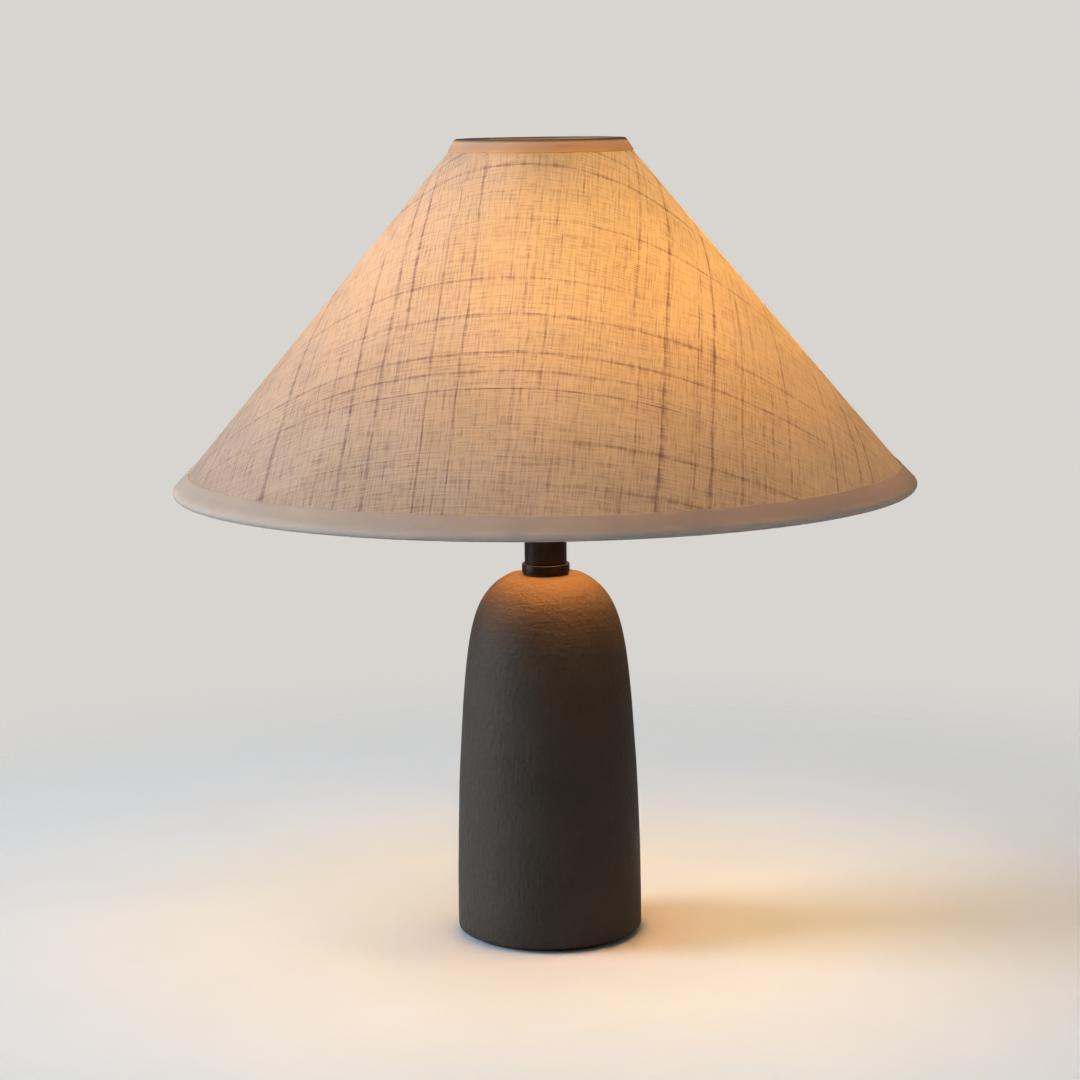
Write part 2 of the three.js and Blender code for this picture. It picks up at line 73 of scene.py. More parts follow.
class Shading:
    """Builds one material's nodes."""

    def __init__(self, name):
        self.material = bpy.data.materials.new(name)
        self.material.use_nodes = True
        self.tree = self.material.node_tree
        self.tree.nodes.clear()

    def node(self, kind, inputs=None, **settings):
        made = self.tree.nodes.new("ShaderNode" + kind)
        for key, value in settings.items():
            setattr(made, key, value)
        for key, value in (inputs or {}).items():
            if isinstance(value, bpy.types.NodeSocket):
                self.tree.links.new(value, made.inputs[key])
            else:
                made.inputs[key].default_value = value
        return made

    def calc(self, operation, *values):
        return self.node("Math", dict(enumerate(values)), operation=operation).outputs[0]

    def ramp(self, value, low, high, to_low=0.0, to_high=1.0):
        """value's smooth climb from low to high, as a number from to_low to to_high."""
        inputs = {"Value": value, "From Min": low, "From Max": high, "To Min": to_low, "To Max": to_high}
        return self.node("MapRange", inputs, interpolation_type="SMOOTHSTEP").outputs[0]

    def noise(self, vector, scale, detail=2.0, dimensions="3D", roughness=0.5):
        inputs = {"Vector": vector, "Scale": scale, "Detail": detail, "Roughness": roughness}
        return self.node("TexNoise", inputs, noise_dimensions=dimensions).outputs["Fac"]

    def blend(self, share, first, second):
        """A mix of two colours. Input 0 of the node is the share, and its colours are inputs 6 and 7."""
        made = self.node("Mix", data_type="RGBA")
        for socket, value in zip((made.inputs[0], made.inputs[6], made.inputs[7]), (share, first, second)):
            if isinstance(value, bpy.types.NodeSocket):
                self.tree.links.new(value, socket)
            else:
                socket.default_value = value if isinstance(value, float) else (*value, 1)
        return made.outputs[2]

    def place(self, stretch=(1, 1, 1)):
        """The point in the row frame, in metres, with its axes stretched."""
        at = self.node("TexCoord").outputs["Object"]
        return self.node("Mapping", {"Vector": at, "Scale": stretch}).outputs[0]

    def bump(self, height, depth, strength=1.0):
        return self.node("Bump", {"Height": height, "Distance": depth, "Strength": strength}).outputs[0]

    def done(self, surface):
        self.tree.links.new(surface, self.node("OutputMaterial").inputs["Surface"])
        return self.material


def moulded(name, colour, other, rough, metal=0.0, grain=900.0, depth=0.00004, stretch=(1, 1, 1)):
    """A solid material: two tones in soft clouds, uneven gloss and a fine grain."""
    s = Shading(name)
    clouds = s.ramp(s.noise(s.place(), grain / 12, 3), 0.35, 0.65)
    grains = s.noise(s.place(stretch), grain, 3)
    gloss = s.ramp(s.calc("ADD", clouds, grains), 0.6, 1.4, rough[0], rough[1])
    inputs = {
        "Base Color": s.blend(clouds, colour, other),
        "Roughness": gloss,
        "Metallic": metal,
        "Normal": s.bump(grains, depth),
    }
    return s.done(s.node("BsdfPrincipled", inputs).outputs[0])


def glaze():
    """A matt, dark brown glaze: pebbled, with faint streaks down the wall and turned rings on the dome."""
    wall_end, dome_start = 0.140, 0.185
    s = Shading("ceramic_glaze")
    pebbles = s.noise(s.place(), 340, 4, roughness=0.6)
    streaks = s.noise(s.place((1, 1, 0.12)), 700, 2)
    rings = s.noise(s.place((0.16, 0.16, 1.0)), 620, 3)
    height = s.node("SeparateXYZ", {0: s.place()}).outputs["Z"]
    dome = s.ramp(height, wall_end, dome_start)
    on_wall = s.calc("MULTIPLY", streaks, s.calc("SUBTRACT", 1.0, dome))
    drawn = s.calc("ADD", on_wall, s.calc("MULTIPLY", rings, dome))
    relief = s.calc("ADD", pebbles, s.calc("MULTIPLY", drawn, 0.45))
    clouds = s.ramp(s.noise(s.place(), 28, 4), 0.3, 0.7)
    tone = s.blend(clouds, (0.033, 0.0285, 0.0240), (0.043, 0.0370, 0.0310))
    specks = s.ramp(s.noise(s.place(), 1500, 2), 0.66, 0.74)
    tone = s.blend(s.calc("MULTIPLY", specks, 0.35), tone, (0.075, 0.065, 0.055))
    inputs = {
        "Base Color": tone,
        "Roughness": s.ramp(s.calc("ADD", clouds, pebbles), 0.5, 1.5, 0.56, 0.68),
        "Specular IOR Level": 0.18,
        "Normal": s.bump(relief, 0.00075, 0.9),
    }
    return s.done(s.node("BsdfPrincipled", inputs).outputs[0])


ACROSS, ALONG = 0, 1


class Weave(Shading):
    """A cloth whose flat pattern, in metres, is in its UV map: U across the cloth and V along it.

    The threads drift a little to the sides, as woven threads do."""

    DRIFT = 0.0022
    KNOT_LENGTH = 0.006

    def __init__(self, name):
        super().__init__(name)
        flat = self.node("UVMap", uv_map="flat").outputs[0]
        drift = self.node("TexNoise", {"Vector": flat, "Scale": 14.0, "Detail": 1.0}, noise_dimensions="2D")
        moved = self.node("VectorMath", {0: drift.outputs["Color"], 1: (0.5, 0.5, 0.5)}, operation="SUBTRACT")
        moved = self.node("VectorMath", {0: moved.outputs[0], "Scale": self.DRIFT}, operation="SCALE")
        flat = self.node("VectorMath", {0: flat, 1: moved.outputs[0]}, operation="ADD").outputs[0]
        self.flat = self.node("SeparateXYZ", {0: flat})

    def threads(self, axis, pitch, width, share, run, seed):
        """Thick threads that run along an axis, up to one in each pitch.

        The share is the chance of one, and the run is how long a thick place is before it fades."""
        along, across = self.flat.outputs["XY"[axis]], self.flat.outputs["XY"[1 - axis]]
        count = self.calc("DIVIDE", across, pitch)
        lane = self.calc("FLOOR", count)
        random = self.node("TexWhiteNoise", {"W": self.calc("ADD", lane, seed)}, noise_dimensions="1D")
        split = self.node("SeparateColor", {0: random.outputs["Color"]})
        middle = self.calc("MULTIPLY_ADD", split.outputs[0], 0.6, 0.2)
        offset = self.calc("ABSOLUTE", self.calc("SUBTRACT", self.calc("SUBTRACT", count, lane), middle))
        there = self.calc("MULTIPLY_ADD", lane, 7.31, seed)
        where = self.node("CombineXYZ", {0: self.calc("DIVIDE", along, run), 1: there}).outputs[0]
        swell = self.noise(where, 1.0, 1.5, "2D")
        lasts = self.ramp(swell, 0.60 - 0.30 * share, 0.72 - 0.30 * share)
        breadth = self.calc("MULTIPLY_ADD", split.outputs[1], 1.0, 0.35)
        half = self.calc("MULTIPLY", width / pitch / 2, breadth)
        inputs = {"Value": offset, "From Min": half, "From Max": 0.0}
        line = self.node("MapRange", inputs, clamp=True).outputs[0]
        chosen = self.calc("LESS_THAN", split.outputs[2], share)
        knots = self.node("CombineXYZ", {0: self.calc("DIVIDE", along, self.KNOT_LENGTH), 1: there})
        uneven = self.ramp(self.noise(knots.outputs[0], 1.0, 2.0, "2D"), 0.25, 0.65, 0.45, 1.0)
        here = self.calc("MULTIPLY", lasts, uneven)
        return self.calc("MULTIPLY", self.calc("MULTIPLY", line, chosen), here)

    def total(self, *values):
        result = values[0]
        for value in values[1:]:
            result = self.calc("ADD", result, value)
        return result

    def weighed(self, *pairs):
        """The sum of pairs of a value and its weight."""
        return self.total(*(self.calc("MULTIPLY", value, weight) for value, weight in pairs))

    def yarn(self, axis, size, seed):
        """Uneven fine yarn along an axis, as a number about 0.5."""
        along, across = self.flat.outputs["XY"[axis]], self.flat.outputs["XY"[1 - axis]]
        length = 14 * size
        inputs = {0: self.calc("DIVIDE", along, length), 1: self.calc("DIVIDE", across, size), 2: seed}
        return self.noise(self.node("CombineXYZ", inputs).outputs[0], 1.0, 2)

    def twill(self, period):
        """Fine diagonal ribs that turn back after every nine."""
        x, y = self.flat.outputs["X"], self.flat.outputs["Y"]
        zigzag = self.calc("PINGPONG", y, 9 * period)
        return self.calc("SINE", self.calc("MULTIPLY", self.calc("ADD", x, zigzag), 2 * math.pi / period))


def linen(name, share):
    """Slubbed linen that hands on a share of the light: its thick threads show dark, and stand proud."""
    s = Weave(name)
    long = s.total(
        s.threads(ACROSS, pitch=0.0125, width=0.0030, share=0.72, run=0.420, seed=11.0),
        s.threads(ALONG, pitch=0.0150, width=0.0030, share=0.66, run=0.330, seed=37.0),
    )
    short = s.total(
        s.threads(ACROSS, pitch=0.0046, width=0.0019, share=0.50, run=0.070, seed=53.0),
        s.threads(ALONG, pitch=0.0042, width=0.0020, share=0.70, run=0.080, seed=71.0),
    )
    fine = s.total(
        s.threads(ACROSS, pitch=0.0017, width=0.0014, share=0.55, run=0.018, seed=5.0),
        s.threads(ALONG, pitch=0.0016, width=0.0014, share=0.66, run=0.022, seed=91.0),
    )
    yarns = s.calc("ADD", s.yarn(ACROSS, 0.0009, 1.0), s.yarn(ALONG, 0.0009, 5.0))
    patches = s.noise(s.place(), 30, 3)
    ribs = s.calc("MULTIPLY", s.twill(0.0015), s.ramp(patches, 0.40, 0.58))
    thick = s.weighed(
        (long, 0.50),
        (short, 0.24),
        (fine, 0.20),
        (s.calc("SUBTRACT", yarns, 1.0), 1.15),
        (ribs, 0.08),
        (s.calc("SUBTRACT", patches, 0.5), 0.20),
    )
    dense = s.ramp(thick, -0.25, 0.95)
    through = s.blend(dense, (0.98, 0.735, 0.265), (0.32, 0.13, 0.028))
    front = s.blend(s.ramp(thick, -0.2, 0.8), (0.385, 0.41, 0.445), (0.24, 0.24, 0.25))
    proud = s.weighed((long, 1.0), (short, 0.6), (yarns, 1.1), (ribs, 0.35))
    normal = s.bump(proud, 0.00040, 0.8)
    cloth = s.node(
        "BsdfPrincipled",
        {
            "Base Color": front,
            "Roughness": 0.85,
            "Specular IOR Level": 0.2,
            "Sheen Weight": 0.15,
            "Sheen Roughness": 0.5,
            "Normal": normal,
        },
    )
    glow = s.node("BsdfTranslucent", {"Color": through})
    return s.done(s.node("MixShader", {0: share, 1: cloth.outputs[0], 2: glow.outputs[0]}).outputs[0])


def film():
    """The translucent white film that the linen is laminated to."""
    s = Shading("shade_film")
    mottle = s.noise(s.place(), 160, 3)
    tone = s.blend(s.ramp(mottle, 0.3, 0.7), (0.86, 0.80, 0.70), (0.93, 0.88, 0.80))
    face = s.node("BsdfPrincipled", {"Base Color": tone, "Roughness": 0.6, "Normal": s.bump(mottle, 0.0001)})
    glow = s.node("BsdfTranslucent", {"Color": tone})
    return s.done(s.node("MixShader", {0: 0.6, 1: face.outputs[0], 2: glow.outputs[0]}).outputs[0])


def clear_back(name):
    """The hidden face between two laminated sheets, which hands all of its light on."""
    s = Shading(name)
    tone = s.blend(s.ramp(s.noise(s.place(), 200, 2), 0.3, 0.7), (0.97, 0.97, 0.97), (1.0, 1.0, 1.0))
    return s.done(s.node("BsdfTranslucent", {"Color": tone}).outputs[0])


def tape(name, painted_shade_height, clear, share, tones, lights):
    """A close-woven cotton tape, with painted shade where it turns over its wire.

    The painted shade is darkest at one height and gone at another, in metres. The share is that of the light
    that it hands on."""
    # Painted shade: a dark tone and a dim glow for the bead, where the wire and the folds keep the light off.
    painted_shade_tone, painted_shade_glow = (0.30, 0.26, 0.235), (0.14, 0.09, 0.06)
    s = Weave(name)
    yarns = s.calc("ADD", s.yarn(ACROSS, 0.0005, 2.0), s.yarn(ALONG, 0.0005, 8.0))
    soft = s.noise(s.place(), 60, 3)
    shade = s.ramp(s.calc("ADD", s.calc("MULTIPLY", yarns, 0.6), soft), 0.7, 1.5)
    height = s.node("SeparateXYZ", {0: s.place()}).outputs["Z"]
    # unshaded climbs from the painted shade at one height to the full tone at clear.
    unshaded = s.ramp(height, painted_shade_height, clear)
    tone = s.blend(shade, *tones)
    tone = s.blend(unshaded, painted_shade_tone, tone)
    normal = s.bump(yarns, 0.00016, 0.8)
    cloth = s.node(
        "BsdfPrincipled",
        {
            "Base Color": tone,
            "Roughness": 0.8,
            "Specular IOR Level": 0.25,
            "Sheen Weight": 0.1,
            "Normal": normal,
        },
    )
    # The glow is dimmed by the same painted shade.
    glow = s.node("BsdfTranslucent", {"Color": s.blend(unshaded, painted_shade_glow, s.blend(shade, *lights))})
    return s.done(s.node("MixShader", {0: share, 1: cloth.outputs[0], 2: glow.outputs[0]}).outputs[0])


def opal(colour, strength):
    """An opal dome, lit from inside."""
    s = Shading("bulb_opal")
    grain = s.noise(s.place(), 700, 2)
    tone = s.blend(s.ramp(grain, 0.3, 0.7), (0.93, 0.90, 0.84), (0.96, 0.94, 0.90))
    inputs = {
        "Base Color": tone,
        "Roughness": 0.35,
        "Normal": s.bump(grain, 0.00002),
        "Emission Color": (*colour, 1),
        "Emission Strength": strength,
    }
    return s.done(s.node("BsdfPrincipled", inputs).outputs[0])


LOOKS = {
    "ceramic": glaze(),
    "felt": moulded(
        "felt", (0.012, 0.012, 0.011), (0.03, 0.028, 0.026), (0.9, 1.0), grain=2600, depth=0.0003
    ),
    "zinc": moulded("zinc_plate", (0.42, 0.43, 0.44), (0.52, 0.53, 0.53), (0.28, 0.42), 1.0, 1200),
    "rubber": moulded("rubber", (0.014, 0.014, 0.013), (0.022, 0.021, 0.02), (0.6, 0.78), grain=1500),
    "bronze": moulded(
        "dark_bronze",
        (0.0062, 0.0040, 0.0027),
        (0.010, 0.0064, 0.0045),
        (0.34, 0.46),
        metal=0.7,
        grain=1800,
        depth=0.00002,
        stretch=(0.06, 0.06, 1),
    ),
    "phenolic": moulded("phenolic", (0.014, 0.013, 0.012), (0.022, 0.02, 0.018), (0.38, 0.52), grain=1600),
    "porcelain": moulded("porcelain", (0.74, 0.71, 0.64), (0.82, 0.79, 0.73), (0.25, 0.45), grain=1400),
    "brass": moulded("brass", (0.52, 0.34, 0.12), (0.62, 0.43, 0.18), (0.22, 0.4), 1.0, 1500),
    "nickel": moulded("nickel_plate", (0.50, 0.48, 0.44), (0.60, 0.58, 0.54), (0.2, 0.36), 1.0, 1500),
    "black_glass": moulded(
        "black_glass", (0.008, 0.006, 0.008), (0.014, 0.01, 0.013), (0.06, 0.2), grain=900
    ),
    "white_plastic": moulded(
        "white_plastic", (0.76, 0.74, 0.70), (0.80, 0.78, 0.74), (0.38, 0.5), grain=1700
    ),
    "opal": opal((1.0, 0.80, 0.33), strength=1.9),
    "board_white": moulded("board_white", (0.74, 0.74, 0.72), (0.80, 0.80, 0.78), (0.35, 0.5), grain=1300),
    "board_green": moulded("board_green", (0.02, 0.09, 0.04), (0.03, 0.12, 0.055), (0.3, 0.5), grain=1300),
    "linen": linen("linen", share=0.4),
    "lining": film(),
    # The foot tape: painted shade on the underside of its bead, between the two heights.
    "tape": tape(
        "cotton_tape",
        painted_shade_height=0.2538,
        clear=0.2566,
        share=0.62,
        tones=((0.80, 0.86, 0.82), (0.69, 0.74, 0.705)),
        lights=((1.0, 0.70, 0.38), (0.92, 0.61, 0.31)),
    ),
    "white_wire": moulded(
        "powder_coat", (0.68, 0.66, 0.61), (0.76, 0.74, 0.70), (0.35, 0.55), 0.1, 2200, 0.00006
    ),
}
# The top tape: a lighter, more translucent copy of the tape, painted light, with painted shade along its top
# edge.
TOP_TAPE_PAINTED_LIGHT = tape(
    "cotton_tape_top_painted_light",
    painted_shade_height=0.4449,
    clear=0.4428,
    share=0.78,
    tones=((1.0, 0.98, 0.92), (0.98, 0.95, 0.88)),
    lights=((1.0, 0.73, 0.33), (1.0, 0.68, 0.28)),
)
LINEN_OVERLAP = linen("linen_overlap", share=0.62)
INNER_TAPE = tape(
    "cotton_tape_inner",
    painted_shade_height=0.2500,
    clear=0.2510,
    share=0.85,
    tones=((0.90, 0.86, 0.80), (0.80, 0.75, 0.70)),
    lights=((1.0, 0.90, 0.78), (0.95, 0.84, 0.70)),
)
HIDDEN_FACE = clear_back("shade_glue_face")

# Every CAD node takes the look of its slot. Those that a finer piece replaces are hidden later.
CAD_CREASE = math.radians(34)
for part in frame["record"]["subparts"]:
    solid = frame["nodes"][part["node"]]
    solid.data.materials.clear()
    solid.data.materials.append(LOOKS[part["material_slot"]])
    for face in solid.data.polygons:
        face.use_smooth = True
    solid.data.set_sharp_from_angle(angle=CAD_CREASE)

# ---------------------------------------------------------------- shaping

ON_AXIS = 1e-9
TOO_SHORT = 1e-6


def mesh_object(name, points, faces, look, sharp=35):
    """A smooth-shaded object from points in metres, creased where faces meet at more than sharp degrees."""
    mesh = bpy.data.meshes.new(name)
    mesh.from_pydata([tuple(p) for p in points], [], faces)
    mesh.materials.append(LOOKS[look])
    mesh.polygons.foreach_set("use_smooth", [True] * len(mesh.polygons))
    mesh.set_sharp_from_angle(angle=math.radians(sharp))
    made = bpy.data.objects.new(name, mesh)
    bpy.context.scene.collection.objects.link(made)
    return made


def rounded(outline, radius, steps=3):
    """A closed outline in millimetres with its corners rounded. A point may carry a radius of its own."""
    points = [Vector(p[:2]) for p in outline]
    radii = [p[2] if len(p) > 2 else radius for p in outline]
    result = []
    for i, here in enumerate(points):
        before, after = points[i - 1] - here, points[(i + 1) % len(points)] - here
        reach = min(radii[i], 0.45 * before.length, 0.45 * after.length)
        if reach < TOO_SHORT or here.x < ON_AXIS:
            result.append(here)
            continue
        start, end = here + before.normalized() * reach, here + after.normalized() * reach
        for k in range(steps + 1):
            t = k / steps
            result.append(start * (1 - t) ** 2 + here * 2 * t * (1 - t) + end * t * t)
    return [(p.x, p.y) for p in result]


def revolve(name, outline, look, segments=96, sharp=35):
    """A solid of revolution about +Z from a closed outline in mm. It is a ring if it stays off the axis."""
    area = sum(a[0] * b[1] - b[0] * a[1] for a, b in zip(outline, [*outline[1:], outline[0]]))
    outline = outline if area > 0 else outline[::-1]
    points, rings = [], []
    for r, z in outline:
        if r < ON_AXIS:
            rings.append([len(points)] * segments)
            points.append((0, 0, z * MM))
            continue
        rings.append(range(len(points), len(points) + segments))
        for k in range(segments):
            a = 2 * math.pi * k / segments
            points.append((r * MM * math.cos(a), r * MM * math.sin(a), z * MM))
    faces = []
    for low, high in zip(rings, [*rings[1:], rings[0]]):
        for k in range(segments):
            n = (k + 1) % segments
            corners = list(dict.fromkeys((low[k], low[n], high[n], high[k])))
            if len(corners) > 2:
                faces.append(corners)
    return mesh_object(name, points, faces, look, sharp)


def shifted(obj, move):
    """Moves each of a mesh's points by a rule, from its place in the row frame and its normal."""
    before = [(vertex.co.copy(), vertex.normal.copy()) for vertex in obj.data.vertices]
    after = [coordinate for at, normal in before for coordinate in at + move(at, normal)]
    obj.data.vertices.foreach_set("co", after)
    obj.data.update()
    return obj


def turn_out(obj, axis, angle, place):
    """Turns a piece's mesh about an axis through the origin and then moves it, in metres."""
    obj.data.transform(Matrix.Translation(place) @ Matrix.Rotation(angle, 4, axis))
    return obj


def pierce(obj, cutter):
    """Cuts a hole in a piece's mesh with another object, which is used up."""
    cut = obj.modifiers.new("cut", "BOOLEAN")
    cut.operation, cut.solver, cut.object = "DIFFERENCE", "EXACT", cutter
    result = obj.evaluated_get(bpy.context.evaluated_depsgraph_get())
    mesh = bpy.data.meshes.new_from_object(result)
    obj.modifiers.clear()
    obj.data = mesh
    bpy.data.objects.remove(cutter)


def settle(obj, body, *nodes):
    """The piece rides on a body and takes the place of CAD nodes, if any are named."""
    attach(obj, body)
    if nodes:
        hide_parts(*nodes)
    return obj


# ---------------------------------------------------------------- base

# In millimetres: the ceramic's flat top, where the neck's gasket and ring sit, and its outside as one
# formula, and then the walls, steps and holes.
BODY_SEAT = 203.9
BODY_FOOT_RADIUS, BODY_TAPER, BODY_APEX = 51.8, 12.5, 208.2
TAPER_POWER, DOME_POWER = 2.25, 15
WALL, WALL_START = 6, 16
STEM_BORE = 5.3
FOOT_Z_CERAMIC, PAD_RECESS, PLATE_SEAT = 2.3, 45.2, 12.5
GLAND_Z, GLAND_BORE = 28, 5
GLAND_AT = Vector((0, 0, GLAND_Z * MM))
TO_THE_BACK = -math.pi / 2


def body_radius(z):
    """The ceramic's outside radius at a height: a slow taper that ends in a dome."""
    h = z / BODY_APEX
    return (BODY_FOOT_RADIUS - BODY_TAPER * h**TAPER_POWER) * math.sqrt(max(0.0, 1 - h**DOME_POWER))


def ceramic_body():
    """The hollow ceramic, a little uneven, with steps for the plate and the pad and a hole for the gland."""
    steps = 150
    climb = [1 - math.sin(math.pi / 2 * i / steps) for i in range(steps + 1)]
    heights = [BODY_SEAT - (BODY_SEAT - WALL_START) * left for left in climb]
    outside = [(body_radius(z), z, 0) for z in heights]
    ceiling = BODY_SEAT - WALL
    inner = [(body_radius(z + WALL) - WALL, z, 0) for z in (20, 60, 110, 150, 175, 186, 192, 196, ceiling)]
    outline = [
        (PAD_RECESS, FOOT_Z_CERAMIC, 0.5),
        (51.75, FOOT_Z_CERAMIC, 4.2),
        *outside[:-1],
        (*outside[-1][:2], 0.6),
        (STEM_BORE, BODY_SEAT, 0.4),
        (STEM_BORE, ceiling, 0.4),
        *inner[::-1],
        (41.5, 15.5, 0.8),
        (41.5, PLATE_SEAT, 0.5),
        (PAD_RECESS, PLATE_SEAT, 0.3),
    ]
    made = revolve("ceramic_body", rounded(outline, 0, 6), "ceramic", 240)

    def hand_made(at, normal):
        swell, dent = noise.noise(at * 28), noise.noise(at * 110 + Vector((3, 5, 7)))
        return normal * (swell * 0.00016 + dent * 0.00005)

    shifted(made, hand_made)
    near, far = 40, 60
    drill = revolve("bore", [(0, near), (GLAND_BORE, near), (GLAND_BORE, far), (0, far)], "ceramic", 64)
    pierce(made, turn_out(drill, "X", TO_THE_BACK, GLAND_AT))
    return settle(made, "base", "base_body")


def gland():
    """The rubber bush in the back of the wall: a lip inside, a stem and a domed flange outside."""
    inside, outside = 43.2, 51.95
    bore, lip, stem, flange = 3.2, 5.8, 4.7, 7.2
    thick, nose = 1.4, 3.4
    outline = [
        (bore, inside, 0.5),
        (lip, inside, 0.4),
        (lip, inside + thick, 0.4),
        (stem, inside + thick, 0.1),
        (stem, outside, 0.1),
        (flange, outside, 0.3),
        (flange - 0.2, outside + thick, 0.8),
        (5.1, outside + nose, 0.7),
        (bore, outside + nose, 0.5),
    ]
    made = revolve("gland_bush", rounded(outline, 0.3, 4), "rubber", 64)
    settle(turn_out(made, "X", TO_THE_BACK, GLAND_AT), "base", "cord_gland")


ceramic_body()
gland()
pad = [(0, 0), (45.6, 0, 0.4), (46, 2, 0.3), (0, 2)]
settle(revolve("felt_pad", rounded(pad, 0.4), "felt", 128), "base", "base_pad")
collar = [(5.4, 205.2), (13.3, 205.2, 0.35), (13.3, 210.3, 0.55), (5.4, 210.3)]
settle(revolve("neck_ring", rounded(collar, 0.3, 4), "bronze", 128), "base", "neck_collar")
tube = [(10.55, 210.6), (11.75, 210.6), (11.75, 272), (10.55, 272)]
settle(revolve("neck_pipe", rounded(tube, 0.25), "bronze", 128), "base", "neck_tube")

# ---------------------------------------------------------------- shade

# In millimetres: the linen's outer face as a cone, and how far inside its two ends the wires and the
# linen's edges lie.
FOOT_RADIUS, FOOT_Z = 204.8, 254.4
SLOPE = math.radians(49.9)
SLANT = 248.8
WIRE_INSET, SHEET_INSET = 2.2, 4.2
SHEET, TAPE = 0.5, 0.5
FILM_OUT = -0.8
WARP_TURN = math.radians(8.5)
AROUND = 288


def on_shade(up, out):
    """Radius and height, in mm, of a place up the slope from the foot and out from the linen's face."""
    return (
        FOOT_RADIUS - up * math.cos(SLOPE) + out * math.sin(SLOPE),
        FOOT_Z + up * math.sin(SLOPE) + out * math.cos(SLOPE),
    )


def flat_pattern(obj):
    """Lays a piece of the shade out flat, as it was cut. Its threads run straight up just left of the front.

    A face that spans the seam of the angle gets its corners on one side of it."""
    layer = obj.data.uv_layers.new(name="flat")
    share = math.cos(SLOPE)
    mesh = obj.data
    co = np.empty(len(mesh.vertices) * 3)
    mesh.vertices.foreach_get("co", co)
    co = co.reshape(-1, 3)
    loops = np.empty(len(mesh.loops), int)
    mesh.loops.foreach_get("vertex_index", loops)
    turn = np.arctan2(co[:, 0], -co[:, 1])[loops]
    for polygon in mesh.polygons:
        corners = list(polygon.loop_indices)
        if np.ptp(turn[corners]) > math.pi:
            for corner in corners:
                turn[corner] += 2 * math.pi if turn[corner] < 0 else 0
    far = np.hypot(co[:, 0], co[:, 1])[loops] / share
    spread = (turn + WARP_TURN) * share
    layer.data.foreach_set("uv", np.stack([far * np.sin(spread), -far * np.cos(spread)], 1).ravel())
    return obj


def cone_sheet(name, out, look, hidden):
    """One thin sheet of the shade. Its hidden side is the one that is glued to its neighbour."""
    steps = 40
    rows = [SHEET_INSET + (SLANT - 2 * SHEET_INSET) * i / steps for i in range(steps + 1)]
    outline = [on_shade(up, out) for up in rows] + [on_shade(up, out - SHEET) for up in rows[::-1]]
    made = flat_pattern(revolve(name, outline, look, AROUND))
    made.data.materials.append(HIDDEN_FACE)
    apart = Vector((math.sin(SLOPE), math.cos(SLOPE)))
    for face in made.data.polygons:
        outward = Vector((math.hypot(face.normal.x, face.normal.y), face.normal.z))
        radial = face.normal.x * face.center.x + face.normal.y * face.center.y
        faces_out = radial > 0 and outward.dot(apart) > 0.9
        if faces_out == (hidden == "outer"):
            face.material_index = 1
    return made


def folded_tape(name, end, outside, inside, look):
    """A tape folded round a wire ring at the shade's foot (end 0) or top (end 1), in its own soft puckers.

    Its two legs reach so many millimetres along the slope, outside and inside the shade. The outer leg comes
    off the wire at a tangent and lies down on the linen."""
    middle, leg, bead = -0.65, 0.95, 1.7
    start, stop = math.radians(78), math.radians(324)
    wrap_steps, outer_steps, inner_steps = 16, 6, 4
    outer_end, inner_end = 3.4, 5
    lift = bead * math.sin(start) - leg

    def place(along, out):
        return on_shade(SLANT - along if end else along, middle + out)

    skins = []
    for more in (TAPE, 0.0):
        outer, wrap, inner = [], [], []
        for i in range(outer_steps):
            share = i / outer_steps
            outer.append(place(outside - (outside - outer_end) * share, leg + more + lift * share**1.6))
        for i in range(wrap_steps + 1):
            a = start + (stop - start) * i / wrap_steps
            wrap.append(place(WIRE_INSET + (bead + more) * math.cos(a), (bead + more) * math.sin(a)))
        for i in range(1, inner_steps + 1):
            inner.append(place(inner_end + (inside - inner_end) * i / inner_steps, -leg - more))
        skins.append(outer + wrap + inner)
    made = flat_pattern(revolve(name, skins[0] + skins[1][::-1], "tape", AROUND, 60))
    # The three looks are the outside, the side glued to the linen, and the leg inside the shade.
    for other in (look, HIDDEN_FACE, INNER_TAPE):
        made.data.materials.append(other)
    made.data.materials.pop(index=0)
    half = len(skins[0])
    glued_end, inner_start = 2 * half - 1, half - inner_steps - 2
    for i, face in enumerate(made.data.polygons):
        row = i // AROUND
        if half <= row < glued_end:
            face.material_index = 1
        elif inner_start <= row < half:
            face.material_index = 2

    def pucker(at, _):
        ring = Vector((at.x, at.y, 0)).normalized()
        wave = 0.00012 * noise.noise(Vector((at.x * 90, at.y * 90, 7 * end)))
        return wave * (math.sin(SLOPE) * ring + math.cos(SLOPE) * Vector((0, 0, 1)))

    return shifted(made, pucker)


def overlap():
    """The glued overlap at the join of the linen, at the back between the two tapes."""
    width, low, high, steps, parts = 10.0, 14.2, SLANT - 9.8, 48, 8
    under, face_out, edge_out = 0.06, 0.5, 0.36
    section = [(-width / 2, under), (width / 2, under)]
    for k in range(parts + 1):
        section.append((width * (0.5 - k / parts), face_out if 0 < k < parts else edge_out))
    points, faces = [], []
    for i in range(steps + 1):
        up = low + (high - low) * i / steps
        for across, out in section:
            radius, z = on_shade(up, out)
            turn = across / radius
            points.append(Vector((radius * math.sin(turn), radius * math.cos(turn), z)) * MM)
    count = len(section)
    for i in range(steps):
        for k in range(count):
            n = (k + 1) % count
            faces.append((i * count + k, i * count + n, (i + 1) * count + n, (i + 1) * count + k))
    faces += [tuple(range(count))[::-1], tuple(steps * count + k for k in range(count))]
    made = mesh_object("shade_overlap", points, faces, "linen")
    flat_pattern(made)
    made.data.materials[0] = LINEN_OVERLAP
    made.data.materials.append(HIDDEN_FACE)
    for i in range(steps):
        made.data.polygons[i * count].material_index = 1
    return made


